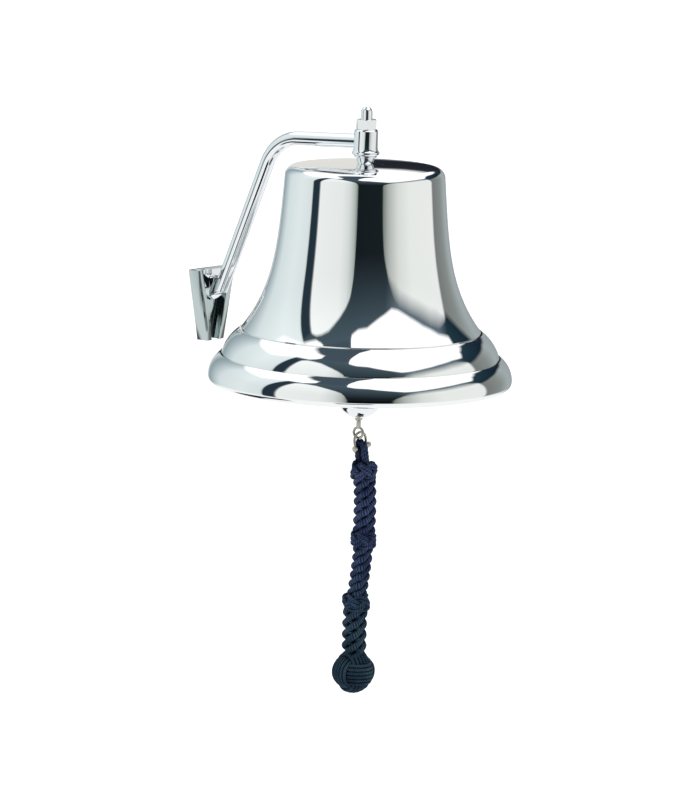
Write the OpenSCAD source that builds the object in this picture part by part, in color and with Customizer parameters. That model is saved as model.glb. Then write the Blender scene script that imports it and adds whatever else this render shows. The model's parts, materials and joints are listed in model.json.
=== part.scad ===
// Wall-hung ship bell on a lift-out bracket arm, with its clapper and a knotted bell rope.
// Origin: centre of the wall socket's back face. +X points away from the wall, +Z up.

/* [Bell] */
// Diameter across the mouth
bell_d = 210; // [170:1:260]
// Height of the shell, crown to lip
bell_h = 152; // [120:1:190]
// Diameter at the shoulder, where the waist starts
shoulder_d = 110.2; // [86:0.2:136]
// Radius of the rounded shoulder
shoulder_r = 7; // [4:0.5:12]
// Drop of the domed crown at the shoulder
crown_drop = 1.8; // [0.5:0.1:4]
// Thickness of the crown
crown_t = 5; // [3:0.5:9]
// Thickness of the waist wall
wall = 4; // [2.5:0.5:6]
// Height of the upper moulding
mould_h = 17.5; // [12:0.5:22]
// How far the upper moulding steps out
mould_step = 13.2; // [9:0.2:16]
// How far the upper moulding bulges from its chord
mould_bulge = 1.95; // [0.8:0.05:3]
// Height of the rim moulding, lip included
rim_h = 20.1; // [15:0.1:25]
// How far the rim moulding steps out
rim_step = 9.2; // [6:0.2:12]
// How far the rim moulding bulges from its chord
rim_bulge = 2.45; // [1:0.05:3.5]
// Radius of the lip's outer corner
lip_r = 4.2; // [2:0.1:6]
// Width of the lip's flat foot and inner corner
lip_w = 4.4; // [3:0.2:7]

/* [Arm] */
// Wall face to bell axis
reach = 140; // [128:1:180]
// Diameter of the bar
bar_d = 10; // [8:0.5:14]
// Wall face to the corner where the bar's two straight runs would meet
corner_x = 61; // [52:1:70]
// Radius of the bend, to the bar's centre line
bend_r = 32; // [22:1:36]
// Lean of the lower run from upright
slant = 23; // [18:1:28]
// Rise of the upper run towards the hub
rise = 3; // [0:0.5:6]
// Height of the bar's lower end above the wall plate's centre
bar_end_z = 11; // [8:0.5:14]
// Height of the bar's axis above the hub's foot, where the two axes meet
bar_h = 9.6; // [8:0.1:12]
// Diameter of the hub
hub_d = 16.4; // [15:0.2:20]
// Height of the hub
hub_h = 18; // [15:0.5:24]
// Diameter of the collar round the hub's foot
collar_d = 19.1; // [18:0.1:23]

/* [Wall socket] */
// Width of the socket at its top
socket_top_w = 40; // [34:1:48]
// Width of the socket at its foot
socket_foot_w = 18; // [15:0.5:24]
// Height of the socket
socket_h = 51; // [44:1:60]
// Thickness of the socket
socket_t = 9; // [7:0.5:12]
// Thickness of the web behind the channel
web_t = 3.8; // [3:0.2:5]
// Width of each side rail
rail_w = 5.2; // [4:0.2:6]
// How far each rail overhangs the channel floor
undercut = 1.1; // [0.4:0.1:1.6]
// Diameter of the wall screw holes
screw_d = 4.5; // [3.5:0.5:5.5]
// Diameter of the countersinks
sink_d = 8.6; // [7:0.2:9.6]
// Diameter of the circle that the three screws stand on
screw_pcd = 16.4; // [15:0.2:18]
// Height of that circle's centre
screw_z = 15; // [13:0.5:16]
// Thickness of the tongue that drops into the channel
tongue_t = 3.2; // [2:0.2:4.4]
// Width of the boss on the tongue
boss_w = 11; // [8:0.5:13]
// Height of the tongue's point
point_z = 3; // [0:0.5:6]
// Clearance round the tongue
slide_gap = 0.1; // [0.05:0.01:0.2]

/* [Stud and fittings] */
// Diameter of the centre stud
stud_d = 8; // [6:1:10]
// Clearance of the holes that the stud passes
hole_gap = 0.2; // [0.1:0.05:0.4]
// Clearance of the nuts on the stud
thread_gap = 0.03; // [0.01:0.01:0.06]
// Nuts, across flats
nut_af = 13; // [10:1:17]
// Height of the outer nut
top_nut_h = 6.8; // [5:0.1:9]
// Height of the inner nut
inner_nut_h = 6.5; // [5:0.1:9]
// How far the round end stands above the outer nut
stud_tip = 9; // [6:0.5:12]
// Diameter of the spacer on the crown
spacer_d = 12.3; // [11:0.1:16]
// Height of the spacer
spacer_h = 4.6; // [3:0.1:8]
// Diameter of the washer on the spacer
washer_d = 15.4; // [14:0.1:18]
// Thickness of that washer
washer_t = 1.1; // [0.8:0.1:2]
// Diameter of the fibre gasket under the crown
gasket_d = 24; // [18:1:30]
// Thickness of the gasket
gasket_t = 1.5; // [1:0.1:3]
// Diameter of the inner washer
inner_washer_d = 17; // [15:1:22]
// Thickness of the inner washer
inner_washer_t = 1.6; // [1:0.1:3]

/* [Clapper] */
// Radius of the hanger eye, to its wire's centre
eye_r = 7; // [6.4:0.1:8]
// Diameter of the hanger eye's wire
eye_wire = 5; // [4:0.2:5.6]
// Diameter of the clapper shackle's wire
shackle_wire = 4; // [3:0.2:4.4]
// Half the span between the clapper shackle's legs
shackle_r = 5.5; // [5:0.1:7]
// Hanger wire's centre down to the clapper pin
shackle_drop = 10; // [9:0.5:13]
// Diameter of the clapper pin
pin_d = 4; // [3:0.2:5]
// Running clearance of the clapper pin
pin_gap = 0.06; // [0.02:0.01:0.1]
// Width of the clapper's eye boss
boss_t = 6; // [4:0.2:6.4]
// Diameter of the clapper's eye boss
boss_d = 9; // [7:0.5:10]
// Clapper pin down to the ball's centre
clapper_l = 119; // [90:1:130]
// Diameter of the ball
ball_d = 32; // [26:1:38]
// Diameter of the clapper rod
rod_d = 8; // [6:0.5:10]
// Diameter of the threaded ends inside the ball
spigot_d = 6; // [4:0.5:7]

/* [Bell rope] */
// Radius of the tail eye, to its wire's centre
tail_r = 3.6; // [3.2:0.1:4.4]
// Diameter of the tail eye's wire
tail_wire = 1.8; // [1.6:0.1:2]
// Ball centre down to the tail eye's centre
tail_drop = 26.5; // [24:0.5:32]
// Diameter of the rope shackle's wire
link_wire = 1.8; // [1.6:0.1:2]
// Radius of the rope shackle's bow, to its wire's centre
link_r = 5.2; // [4.8:0.1:6]
// Bow centre down to the rope pin
link_drop = 5.5; // [4.6:0.1:7]
// Diameter of the rope pin
rope_pin_d = 2; // [1.6:0.1:2.4]
// Diameter of the rope in the bight
bight_rope = 4.8; // [4:0.2:5.2]
// Diameter of the plaited rope
sinnet_d = 14.6; // [12:0.2:17]
// Diameter of the three knots
knot_d = [19.6, 19.2, 20.4]; // [17:0.2:24]
// Height of the three knots
knot_h = [15, 14, 13.6]; // [11:0.2:18]
// Diameter of the monkey's fist
fist_d = 31; // [26:1:36]
// Diameter of the wooden ball inside the fist
core_d = 15; // [10:1:18]

/* [Hidden] */
$fn = 64;

chrome = [0.86, 0.87, 0.89];
bright = [0.93, 0.94, 0.95];
navy = [0.07, 0.09, 0.2];
fibre = [0.35, 0.16, 0.1];
beech = [0.8, 0.65, 0.45];

over = 1;                       // how far a cutting shape runs past what it cuts
sliver = 0.01;                  // thickness of the plates that a hull is stretched between
crown_z = 112;                  // top of the crown
crown_flat = 10;                // radius of the flat seat on the crown
bar_r = bar_d / 2;
stud_r = stud_d / 2;
hole_r = stud_r + hole_gap;

// ---- bell profile: r out from the axis, h down from the crown ----
waist_n = 14;                   // steps along the waist
arc_n = 8;                      // steps along a moulding
straight_share = 0.3;           // share of the flare that is a straight cone
flare_power = 3.8;              // how late the rest of the flare opens
seat_h = crown_drop + shoulder_r;
groove_b = [bell_d / 2 - rim_step, bell_h - rim_h];
groove_a = [groove_b[0] - mould_step, groove_b[1] - mould_h];

function flare(t) = straight_share * t + (1 - straight_share) * pow(t, flare_power);
function flare_slope(t) = straight_share + (1 - straight_share) * flare_power * pow(t, flare_power - 1);
function waist_at(t) = [shoulder_d / 2 + (groove_a[0] - shoulder_d / 2) * flare(t),
    seat_h + (groove_a[1] - seat_h) * t];
function waist_lean(t) = flare_slope(t) * (groove_a[0] - shoulder_d / 2) / (groove_a[1] - seat_h);
function inner_at(t) = waist_at(t) - [wall * sqrt(1 + pow(waist_lean(t), 2)), 0];
// arc from p to q that stands out from its chord by b, on the right of the way from p to q
function bulge(p, q, b, n) = let (
        c = norm(q - p), rad = (c * c / 4 + b * b) / (2 * b), u = (q - p) / c,
        v = [u[1], -u[0]], mid = (p + q) / 2 - v * (rad - b), half = asin(c / 2 / rad))
    [for (i = [0:n]) let (a = -half + 2 * half * i / n) mid + rad * (u * sin(a) + v * cos(a))];
function corner(c, r, a0, a1, n) = [for (i = [0:n]) let (a = a0 + (a1 - a0) * i / n)
    c + r * [sin(a), -cos(a)]];
function drop(first, pts) = [for (i = [first:len(pts) - 1]) pts[i]];

dome_edge = shoulder_d / 2 - shoulder_r;
dome_tilt = atan(2 * crown_drop / (dome_edge - crown_flat));
lip_top = [bell_d / 2, bell_h - lip_r];
inner_r = 5;                    // radius of the inner corner under the crown
foot_in = [bell_d / 2 - lip_r - lip_w, bell_h - lip_w / 2];
bell_outline = concat(
    [[hole_r, 0]],
    [for (i = [0:6]) let (r = crown_flat + (dome_edge - crown_flat) * i / 6)
        [r, crown_drop * pow((r - crown_flat) / (dome_edge - crown_flat), 2)]],
    drop(1, corner([dome_edge, seat_h], shoulder_r, dome_tilt, 84, arc_n)),
    drop(1, [for (i = [0:waist_n]) waist_at(i / waist_n)]),
    drop(1, bulge(groove_a, groove_b, mould_bulge, arc_n)),
    drop(1, bulge(groove_b, lip_top, rim_bulge, arc_n)),
    drop(1, corner([bell_d / 2 - lip_r, bell_h - lip_r], lip_r, 90, 180, 5)),
    drop(1, corner(foot_in + [lip_w / 2, 0], lip_w / 2, 180, 270, 4)),
    [for (i = [waist_n:-1:0]) inner_at(i / waist_n)],
    corner([inner_at(0)[0] - inner_r, crown_t + inner_r], inner_r, 84, 0, 4),
    [[hole_r, crown_t]]);

// ---- stack on the stud, upwards from the crown and downwards inside ----
washer_z = crown_z + spacer_h;
hub_z = washer_z + washer_t;
nut_z = hub_z + hub_h;
tip_z = nut_z + top_nut_h + stud_tip;
gasket_z = crown_z - crown_t - gasket_t;
inner_washer_z = gasket_z - inner_washer_t;
inner_nut_z = inner_washer_z - inner_nut_h;
bare_shank = 3;                 // shank that shows under the inner nut
shank_end = inner_nut_z - bare_shank;
eye_z = shank_end - eye_r;      // centre of the hanger eye, its wire's centre on the shank's end
link_gap = 0.1;                 // play where one wire hangs in another
swing_x_z = eye_z - eye_r;      // centre of the hanger eye's wire, where the shackle rocks
bow_z = swing_x_z + eye_wire / 2 + shackle_wire / 2 + link_gap - shackle_r;
pin_z = swing_x_z - shackle_drop;
ball_z = pin_z - clapper_l;

// ---- arm ----
bar_axis_z = hub_z + bar_h;
corner_z = bar_axis_z - (reach - corner_x) * tan(rise);
turn = 90 - slant - rise;
tangent = bend_r * tan(turn / 2);
low_dir = [sin(slant), 0, cos(slant)];
high_dir = [cos(rise), 0, sin(rise)];
bend_start = [corner_x, 0, corner_z] - tangent * low_dir;
bend_end = [corner_x, 0, corner_z] + tangent * high_dir;
bend_centre = bend_start + bend_r * [cos(slant), 0, -sin(slant)];
bar_foot = [corner_x - (corner_z - bar_end_z) * tan(slant), 0, bar_end_z];
low_len = norm(bend_start - bar_foot);
high_len = norm([reach, 0, bar_axis_z] - bend_end);

// ---- wall socket and tongue ----
sink_depth = (sink_d - screw_d) / 2;
half_h = socket_h / 2;
channel_top = socket_top_w / 2 - rail_w;
channel_foot = socket_foot_w / 2 - rail_w;
tongue_top = half_h - 0.5;      // the tongue stops just under the socket's top edge
shoulder_z = 10.5;              // where the tongue starts to narrow to its point
groove_w = 0.6;                 // fine line down the middle of the web

// ---- bell rope: where the shackle and the pin hang ----
tail_turn = 10;                 // turn of the tail eye's plane from the wall's normal
link_turn = 80;                 // turn of the rope shackle's plane
link_hang = 20;                 // how far round its bow the shackle hangs on the eye
link_tilt = 10;                 // lean of the shackle
tail_z = ball_z - tail_drop;
rope_swing_z = tail_z - tail_r; // centre of the tail eye's wire, where the rope shackle swings
link_rise = 3.4;                // wire centre to wire centre where the bow crosses the eye
link_dir = [cos(link_turn), sin(link_turn), 0];
link_centre = [reach, 0, rope_swing_z + link_rise]
    + link_r * (sin(link_hang) * link_dir - [0, 0, cos(link_hang)]);
rope_pin_at = link_centre + link_drop * (sin(link_tilt) * link_dir - [0, 0, cos(link_tilt)]);
bight_r = rope_pin_d / 2 + 0.15 + bight_rope / 2;
leg_l = 12;                     // the bight's legs, down into the first knot

// The plaited rope as it hangs, from the rope pin: out of the first knot, down to the fist's heart
rope_lay = [[0.4, 2.1, -11.4], [0.4, 2.1, -17.4], [0.5, 2.2, -29.4], [0.7, 2.2, -41.4],
    [1, 2.2, -53.4], [1.2, 2.2, -65.4], [0.7, 1.9, -77.4], [-0.3, 1.4, -88.4],
    [-1.3, 0.8, -99.4], [-1.9, 0.3, -110.4], [-1.9, 0.2, -121.4], [-1.7, 0.2, -132.4],
    [-1.6, 0.2, -143.4], [-1.6, 0.2, -150.4]];
rope_route = [for (p = rope_lay) rope_pin_at + p];
knot_at = [rope_route[1], rope_route[5], rope_route[9]];
rope_bury = 7;                  // how deep the rope's end goes into the fist
fist_at = rope_route[len(rope_route) - 1] - [0, 0, fist_d / 2 - rope_bury];
rope_sides = 10;

// Rings of n points round each route point, joined into one closed tube
module swept(route, d, n) {
    last = len(route) - 1;
    ways = [for (i = [0:last]) let (w = route[min(i + 1, last)] - route[max(i - 1, 0)]) w / norm(w)];
    rings = [for (i = [0:last]) let (
            a = cross(ways[i], [0, 1, 0]), side = a / norm(a), up = cross(ways[i], side))
        for (k = [0:n - 1]) let (t = 360 * k / n)
            route[i] + d / 2 * (side * cos(t) + up * sin(t))];
    walls = [for (i = [0:last - 1]) for (k = [0:n - 1]) let (m = (k + 1) % n)
        [i * n + k, i * n + m, (i + 1) * n + m, (i + 1) * n + k]];
    polyhedron(rings, concat(walls, [[for (k = [n - 1:-1:0]) k]],
        [[for (k = [0:n - 1]) last * n + k]]), convexity = 4);
}

// Places a solid drawn round Z on the bell's axis
module on_axis(z) { translate([reach, 0, z]) children(); }

// Front-view outline in Y and Z, given thickness along X from x
module slab(x, t) { translate([x, 0, 0]) rotate([90, 0, 90]) linear_extrude(t) children(); }

// Tapered dovetail: wide at its back, narrow at its mouth, between heights z0 and z1
module dovetail(x0, x1, z0, z1, gap) {
    function half_at(z) = channel_foot + (channel_top - channel_foot) * (z + half_h) / socket_h;
    function flank(x) = undercut * (socket_t - x) / (socket_t - web_t);
    hull() for (x = [x0, x1 - sliver]) slab(x, sliver)
        polygon([for (p = [[z0, -1], [z1, -1], [z1, 1], [z0, 1]])
            [p[1] * (half_at(p[0]) + flank(x) - gap), p[0]]]);
}

module wall_socket() color(chrome) difference() {
    slab(0, socket_t) polygon([[-socket_foot_w / 2, -half_h], [socket_foot_w / 2, -half_h],
        [socket_top_w / 2, half_h], [-socket_top_w / 2, half_h]]);
    dovetail(web_t, socket_t + over, -half_h - over, half_h + over, 0);
    for (a = [30, 150, 270]) translate([0, screw_pcd / 2 * cos(a), screw_z + screw_pcd / 2 * sin(a)])
        rotate([0, 90, 0]) {
            translate([0, 0, -over]) cylinder(d = screw_d, h = web_t + 2 * over);
            translate([0, 0, web_t - sink_depth]) cylinder(d1 = screw_d, d2 = sink_d, h = sink_depth);
        }
    // fine centre line down the web
    translate([web_t, 0, -socket_h]) rotate([0, 0, 45])
        cube([groove_w / sqrt(2), groove_w / sqrt(2), 2 * socket_h], center = true);
}

// The two straight runs reach half a millimetre into the bend, which is drawn a hair thinner
module bar_stock() {
    lap = 0.5;
    translate(bar_foot) rotate([0, slant, 0]) cylinder(r = bar_r, h = low_len + lap);
    translate(bend_centre) rotate([90, 0, 0]) rotate([0, 0, 90 + rise])
        rotate_extrude(angle = turn) translate([bend_r, 0]) circle(r = bar_r - 0.02);
    translate(bend_end - lap * high_dir) rotate([0, 90 - rise, 0]) cylinder(r = bar_r, h = high_len + lap);
}

module arm_foot() color(chrome) difference() {
    intersection() {
        union() {
            dovetail(web_t + slide_gap, web_t + slide_gap + tongue_t, point_z, tongue_top, slide_gap);
            translate([0, boss_w / 2, 0]) rotate([90, 0, 0]) linear_extrude(boss_w)
                polygon([[web_t + slide_gap, point_z], [socket_t - 1, point_z + 0.6],
                    [socket_t + 0.6, point_z + 4], [bar_foot[0], bar_foot[2] - 1],
                    [bar_foot[0] + 3, bar_foot[2] + 8], [bar_foot[0] + 1, bar_foot[2] + 10],
                    [socket_t - 1, bar_foot[2] + 8], [web_t + tongue_t, bar_foot[2] + 9],
                    [web_t + slide_gap, bar_foot[2] + 9]]);
        }
        slab(0, reach) polygon([[0, point_z], [channel_top + 2, shoulder_z + 1.5],
            [channel_top + 2, socket_h], [-channel_top - 2, socket_h], [-channel_top - 2, shoulder_z + 1.5]]);
    }
    translate(bar_foot) rotate([0, slant, 0]) cylinder(r = bar_r, h = low_len);
}

module arm_bar() color(chrome) difference() {
    bar_stock();
    on_axis(hub_z) hub_body();
}

// The hub's outside, without its bore
module hub_body() rotate_extrude() polygon(concat(
    [[0, 0], [washer_d / 2, 0]],
    corner([collar_d / 2 - 1.5, 1.9], 1.5, 20, 140, 6),
    [[hub_d / 2 + 0.4, 4], [hub_d / 2, 5.2], [hub_d / 2, hub_h - 1], [hub_d / 2 - 1, hub_h], [0, hub_h]]));

module arm_hub() color(chrome) on_axis(hub_z) difference() {
    hub_body();
    translate([0, 0, -over]) cylinder(r = hole_r, h = hub_h + 2 * over);
}

// Hexagon nut with chamfered corners
module hex_nut(h) difference() {
    intersection() {
        cylinder(d = nut_af / cos(30), h = h, $fn = 6);
        rotate_extrude() polygon([[0, 0], [nut_af / 2, 0], [nut_af / 2 + 1.2, 0.7],
            [nut_af / 2 + 1.2, h - 0.7], [nut_af / 2, h], [0, h]]);
    }
    translate([0, 0, -over]) cylinder(r = stud_r + thread_gap, h = h + 2 * over);
}

module top_nut() color(bright) on_axis(nut_z) rotate([0, 0, 15]) hex_nut(top_nut_h);

module inner_nut() color(chrome) on_axis(inner_nut_z) hex_nut(inner_nut_h);

// Upright ring of round wire, its plane turned a from X
module wire_ring(r, wire, a) rotate([0, 0, a]) rotate([90, 0, 0])
    rotate_extrude() translate([r, 0]) circle(d = wire, $fn = 32);

module hanger_stud() color(chrome) {
    on_axis(shank_end) rotate_extrude() polygon(concat([[0, 0], [stud_r, 0]],
        [for (i = [0:6]) [stud_r * cos(i * 15), tip_z - shank_end - stud_r + stud_r * sin(i * 15)]]));
    on_axis(eye_z) wire_ring(eye_r, eye_wire, 0);
}

// Flat ring from z upwards
module ring_plate(z, d, t, bore) on_axis(z) difference() {
    cylinder(d = d, h = t);
    translate([0, 0, -over]) cylinder(r = bore, h = t + 2 * over);
}

module hub_washer() color(bright) ring_plate(washer_z, washer_d, washer_t, hole_r);

module crown_spacer() color(chrome) on_axis(crown_z) difference() {
    rotate_extrude() polygon(concat([[0, 0]],
        [for (i = [0:6]) [spacer_d / 2 - 1.1 * pow(1 - i / 6, 2), spacer_h * i / 6]], [[0, spacer_h]]));
    translate([0, 0, -over]) cylinder(r = hole_r, h = spacer_h + 2 * over);
}

module bell() color(chrome) on_axis(crown_z) rotate_extrude($fn = 128)
    polygon([for (p = bell_outline) [p[0], -p[1]]]);

module inner_gasket() color(fibre) ring_plate(gasket_z, gasket_d, gasket_t, hole_r);

module inner_washer() color(chrome) ring_plate(inner_washer_z, inner_washer_d, inner_washer_t, hole_r);

module clapper_shackle() color(chrome) on_axis(0) {
    lug_r = pin_d / 2 + 2.2;
    difference() {
        union() {
            translate([0, 0, bow_z]) rotate([90, 0, 90]) rotate_extrude(angle = 180)
                translate([shackle_r, 0]) circle(d = shackle_wire, $fn = 32);
            for (s = [-1, 1]) translate([0, s * shackle_r, pin_z]) {
                cylinder(d = shackle_wire, h = bow_z - pin_z, $fn = 32);
                rotate([90, 0, 0]) cylinder(r = lug_r, h = shackle_wire, center = true);
            }
        }
        translate([0, 0, pin_z]) rotate([90, 0, 0])
            cylinder(r = pin_d / 2 + pin_gap, h = 4 * shackle_r, center = true);
    }
}

module clapper_pin() color(bright) translate([reach, 0, pin_z]) rotate([90, 0, 0]) {
    side = shackle_r + shackle_wire / 2;
    cylinder(d = pin_d, h = 2 * side + 1, center = true);
    translate([0, 0, side + 0.2]) cylinder(d = pin_d + 2.6, h = 2);
    translate([0, 0, -side - 1.7]) cylinder(d = pin_d + 1.4, h = 1.5);
}

module clapper_rod() color(chrome) on_axis(pin_z) difference() {
    union() {
        rotate([90, 0, 0]) cylinder(d = boss_d, h = boss_t, center = true);
        translate([0, 0, -clapper_l]) rotate_extrude() polygon([[0, -2], [spigot_d / 2, -2],
            [spigot_d / 2, ball_d / 2 - 3], [rod_d / 2 + 1, ball_d / 2 - 3], [rod_d / 2 + 1, ball_d / 2 + 1.5],
            [rod_d / 2, ball_d / 2 + 3], [rod_d / 2, clapper_l - 22],
            [boss_t / 2 - 0.3, clapper_l - 14], [boss_t / 2 - 0.3, clapper_l - 2.5], [0, clapper_l - 2.5]]);
    }
    rotate([90, 0, 0]) cylinder(r = pin_d / 2 + pin_gap, h = boss_t + 2 * over, center = true);
}

module clapper_ball() color(bright) on_axis(ball_z) difference() {
    sphere(d = ball_d, $fn = 96);
    translate([0, 0, -ball_d]) cylinder(d = spigot_d, h = 2 * ball_d);
    translate([0, 0, ball_d / 2 - 3]) cylinder(r = rod_d / 2 + 1, h = 4);
}

module clapper_tail() color(chrome) {
    ferrule_r = 2.8;
    on_axis(ball_z) rotate_extrude() polygon([[0, -tail_drop + tail_r], [tail_wire * 0.85, -tail_drop + tail_r],
        [tail_wire * 0.85, -ball_d / 2 - 2.2], [ferrule_r - 0.6, -ball_d / 2 - 1.6],
        [ferrule_r, -ball_d / 2 - 0.8], [ferrule_r, -ball_d / 2 + 0.4], [spigot_d / 2 - 0.1, -ball_d / 2 + 0.4],
        [spigot_d / 2 - 0.1, -2.2], [0, -2.2]]);
    on_axis(tail_z) wire_ring(tail_r, tail_wire, tail_turn);
}

// Draws in the rope shackle's own frame: X along its plane, leaning with the shackle
module in_link() translate(link_centre) rotate([0, 0, link_turn]) rotate([0, -link_tilt, 0]) children();

// The straight legs reach a little into the bow, which is drawn a hair thinner and stays inside them
module rope_shackle() color(chrome) in_link() difference() {
    lap = 0.3;
    lug_d = rope_pin_d + 2.2;
    union() {
        rotate([90, 0, 0]) rotate_extrude(angle = 180)
            translate([link_r, 0]) circle(d = link_wire - 0.04, $fn = 32);
        for (s = [-1, 1]) translate([s * link_r, 0, -link_drop]) {
            rotate([0, 90, 0]) cylinder(d = lug_d, h = link_wire + 0.4, center = true);
            cylinder(d = link_wire, h = link_drop + lap, $fn = 32);
        }
    }
    translate([0, 0, -link_drop]) rotate([0, 90, 0])
        cylinder(r = rope_pin_d / 2, h = 4 * link_r, center = true);
}

module rope_pin() color(bright) in_link() translate([0, 0, -link_drop]) rotate([0, 90, 0]) {
    reach_out = link_r + link_wire / 2;
    cylinder(d = rope_pin_d, h = 2 * reach_out + 0.6, center = true);
    // flat head with its turning hole
    translate([0, 0, reach_out + 1.2]) rotate([90, 0, 0]) difference() {
        cylinder(r = 1.9, h = 1.4, center = true);
        cylinder(r = 0.7, h = 3, center = true);
    }
}

module rope_bight() color(navy) translate(rope_pin_at) rotate([0, 0, link_turn]) rotate([0, -link_tilt, 0]) {
    rotate([90, 0, 90]) rotate_extrude(angle = 180) translate([bight_r, 0]) circle(d = bight_rope, $fn = 32);
    for (s = [-1, 1]) translate([0, s * bight_r, -leg_l]) cylinder(d = bight_rope, h = leg_l, $fn = 32);
}

module bell_rope() color(navy) swept(rope_route, sinnet_d, rope_sides);

// Barrel-shaped knot round the rope, with its bore
module turks_head(i) color(navy) translate(knot_at[i]) difference() {
    rotate_extrude() polygon(concat([[0, -knot_h[i] / 2]],
        [for (k = [-4:4]) [knot_d[i] / 2 - 2.2 * pow(k / 4, 2), knot_h[i] * k / 8]], [[0, knot_h[i] / 2]]));
    translate([0, 0, -knot_h[i]]) cylinder(d = sinnet_d, h = 2 * knot_h[i]);
}

module turks_head_1() turks_head(0);
module turks_head_2() turks_head(1);
module turks_head_3() turks_head(2);

module monkeys_fist() color(navy) translate(fist_at) difference() {
    sphere(d = fist_d, $fn = 72);
    sphere(d = core_d, $fn = 48);
    cylinder(d = sinnet_d, h = fist_d);
}

module fist_core() color(beech) translate(fist_at) sphere(d = core_d - 0.2, $fn = 48);

wall_socket();
arm_foot();
arm_bar();
arm_hub();
top_nut();
hanger_stud();
hub_washer();
crown_spacer();
bell();
inner_gasket();
inner_washer();
inner_nut();
clapper_shackle();
clapper_pin();
clapper_rod();
clapper_ball();
clapper_tail();
rope_shackle();
rope_pin();
rope_bight();
bell_rope();
turks_head_1();
turks_head_2();
turks_head_3();
monkeys_fist();
fist_core();
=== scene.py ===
import json
import math

import bmesh
import bpy
import numpy as np
from mathutils import Matrix, Vector


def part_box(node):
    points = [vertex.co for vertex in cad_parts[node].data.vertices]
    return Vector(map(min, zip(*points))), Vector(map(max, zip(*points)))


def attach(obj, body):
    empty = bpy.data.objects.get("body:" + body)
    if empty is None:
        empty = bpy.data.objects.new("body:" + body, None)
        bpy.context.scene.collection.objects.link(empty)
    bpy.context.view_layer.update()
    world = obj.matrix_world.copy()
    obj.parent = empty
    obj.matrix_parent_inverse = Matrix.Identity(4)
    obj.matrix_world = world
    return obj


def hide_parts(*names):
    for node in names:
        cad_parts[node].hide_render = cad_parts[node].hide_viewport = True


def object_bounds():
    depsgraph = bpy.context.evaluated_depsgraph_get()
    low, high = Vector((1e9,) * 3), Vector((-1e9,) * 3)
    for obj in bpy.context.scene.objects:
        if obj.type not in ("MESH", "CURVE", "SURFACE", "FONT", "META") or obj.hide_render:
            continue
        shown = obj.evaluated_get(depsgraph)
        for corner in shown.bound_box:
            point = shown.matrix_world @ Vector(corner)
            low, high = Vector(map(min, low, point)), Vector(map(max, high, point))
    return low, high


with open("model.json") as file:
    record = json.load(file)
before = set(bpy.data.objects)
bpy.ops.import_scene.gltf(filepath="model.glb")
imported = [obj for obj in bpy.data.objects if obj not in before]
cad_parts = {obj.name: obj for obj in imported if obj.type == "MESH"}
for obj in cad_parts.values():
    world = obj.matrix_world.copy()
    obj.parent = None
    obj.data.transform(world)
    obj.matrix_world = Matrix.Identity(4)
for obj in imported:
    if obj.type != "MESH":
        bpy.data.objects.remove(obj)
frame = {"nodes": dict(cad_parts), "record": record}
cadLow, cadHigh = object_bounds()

mm = 0.001
bodyOf = {node: body for body, nodes in frame["record"]["behaviour"]["bodies"].items() for node in nodes}
slotOf = {row["node"]: row["material_slot"] for row in frame["record"]["subparts"]}

bellLow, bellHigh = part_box("bell")
axisX = (bellLow.x + bellHigh.x) / 2     # the bell hangs round this upright line, at y = 0
crownZ = bellHigh.z
print("frame loaded")

# angles in degrees, distance in metres, lens in millimetres; the crown stands this far right of and
# above the middle of the frame
view = {"azimuth": 38, "elevation": 6.64, "distance": 2.77, "roll": 1.5, "lens": 181.9,
        "crownRight": 0.2182, "crownUp": 3.345}


def makeCamera():
    azimuth = math.radians(view["azimuth"])
    elevation = math.radians(view["elevation"])
    back = Vector((math.sin(azimuth) * math.cos(elevation), -math.cos(azimuth) * math.cos(elevation),
                   math.sin(elevation)))
    camera = bpy.data.objects.new("camera", bpy.data.cameras.new("camera"))
    bpy.context.collection.objects.link(camera)
    camera.data.lens = view["lens"]
    camera.data.clip_end = 60
    camera.location = Vector((axisX, 0, crownZ)) + back * view["distance"]
    look = (-back).to_track_quat("-Z", "Y")
    roll = Matrix.Rotation(math.radians(view["roll"]), 3, "Z").to_quaternion()
    crownWay = Vector((math.tan(math.radians(view["crownRight"])), math.tan(math.radians(view["crownUp"])),
                       -1)).normalized()
    aim = crownWay.rotation_difference(Vector((0, 0, -1)))
    camera.rotation_mode = "QUATERNION"
    camera.rotation_quaternion = look @ roll @ aim
    bpy.context.scene.camera = camera


makeCamera()
print("camera placed")


def hexColour(code):
    channels = [int(code[i:i + 2], 16) / 255 for i in (1, 3, 5)]
    linear = [c / 12.92 if c <= 0.04045 else ((c + 0.055) / 1.055) ** 2.4 for c in channels]
    return (*linear, 1)


def addNode(tree, kind, settings=None, links=None):
    node = tree.nodes.new(kind)
    for name, value in (settings or {}).items():
        if isinstance(name, str) and hasattr(node, name):
            setattr(node, name, value)
        else:
            node.inputs[name].default_value = value
    for name, socket in (links or {}).items():
        tree.links.new(socket, node.inputs[name])
    return node


def fillRamp(ramp, stops):
    elements = ramp.color_ramp.elements
    while len(elements) > 1:
        elements.remove(elements[-1])
    elements[0].position, elements[0].color = stops[0]
    for position, colour in stops[1:]:
        elements.new(position).color = colour


def newMaterial(name):
    material = bpy.data.materials.new(name)
    material.use_nodes = True
    tree = material.node_tree
    return material, tree, tree.nodes["Principled BSDF"]


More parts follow.
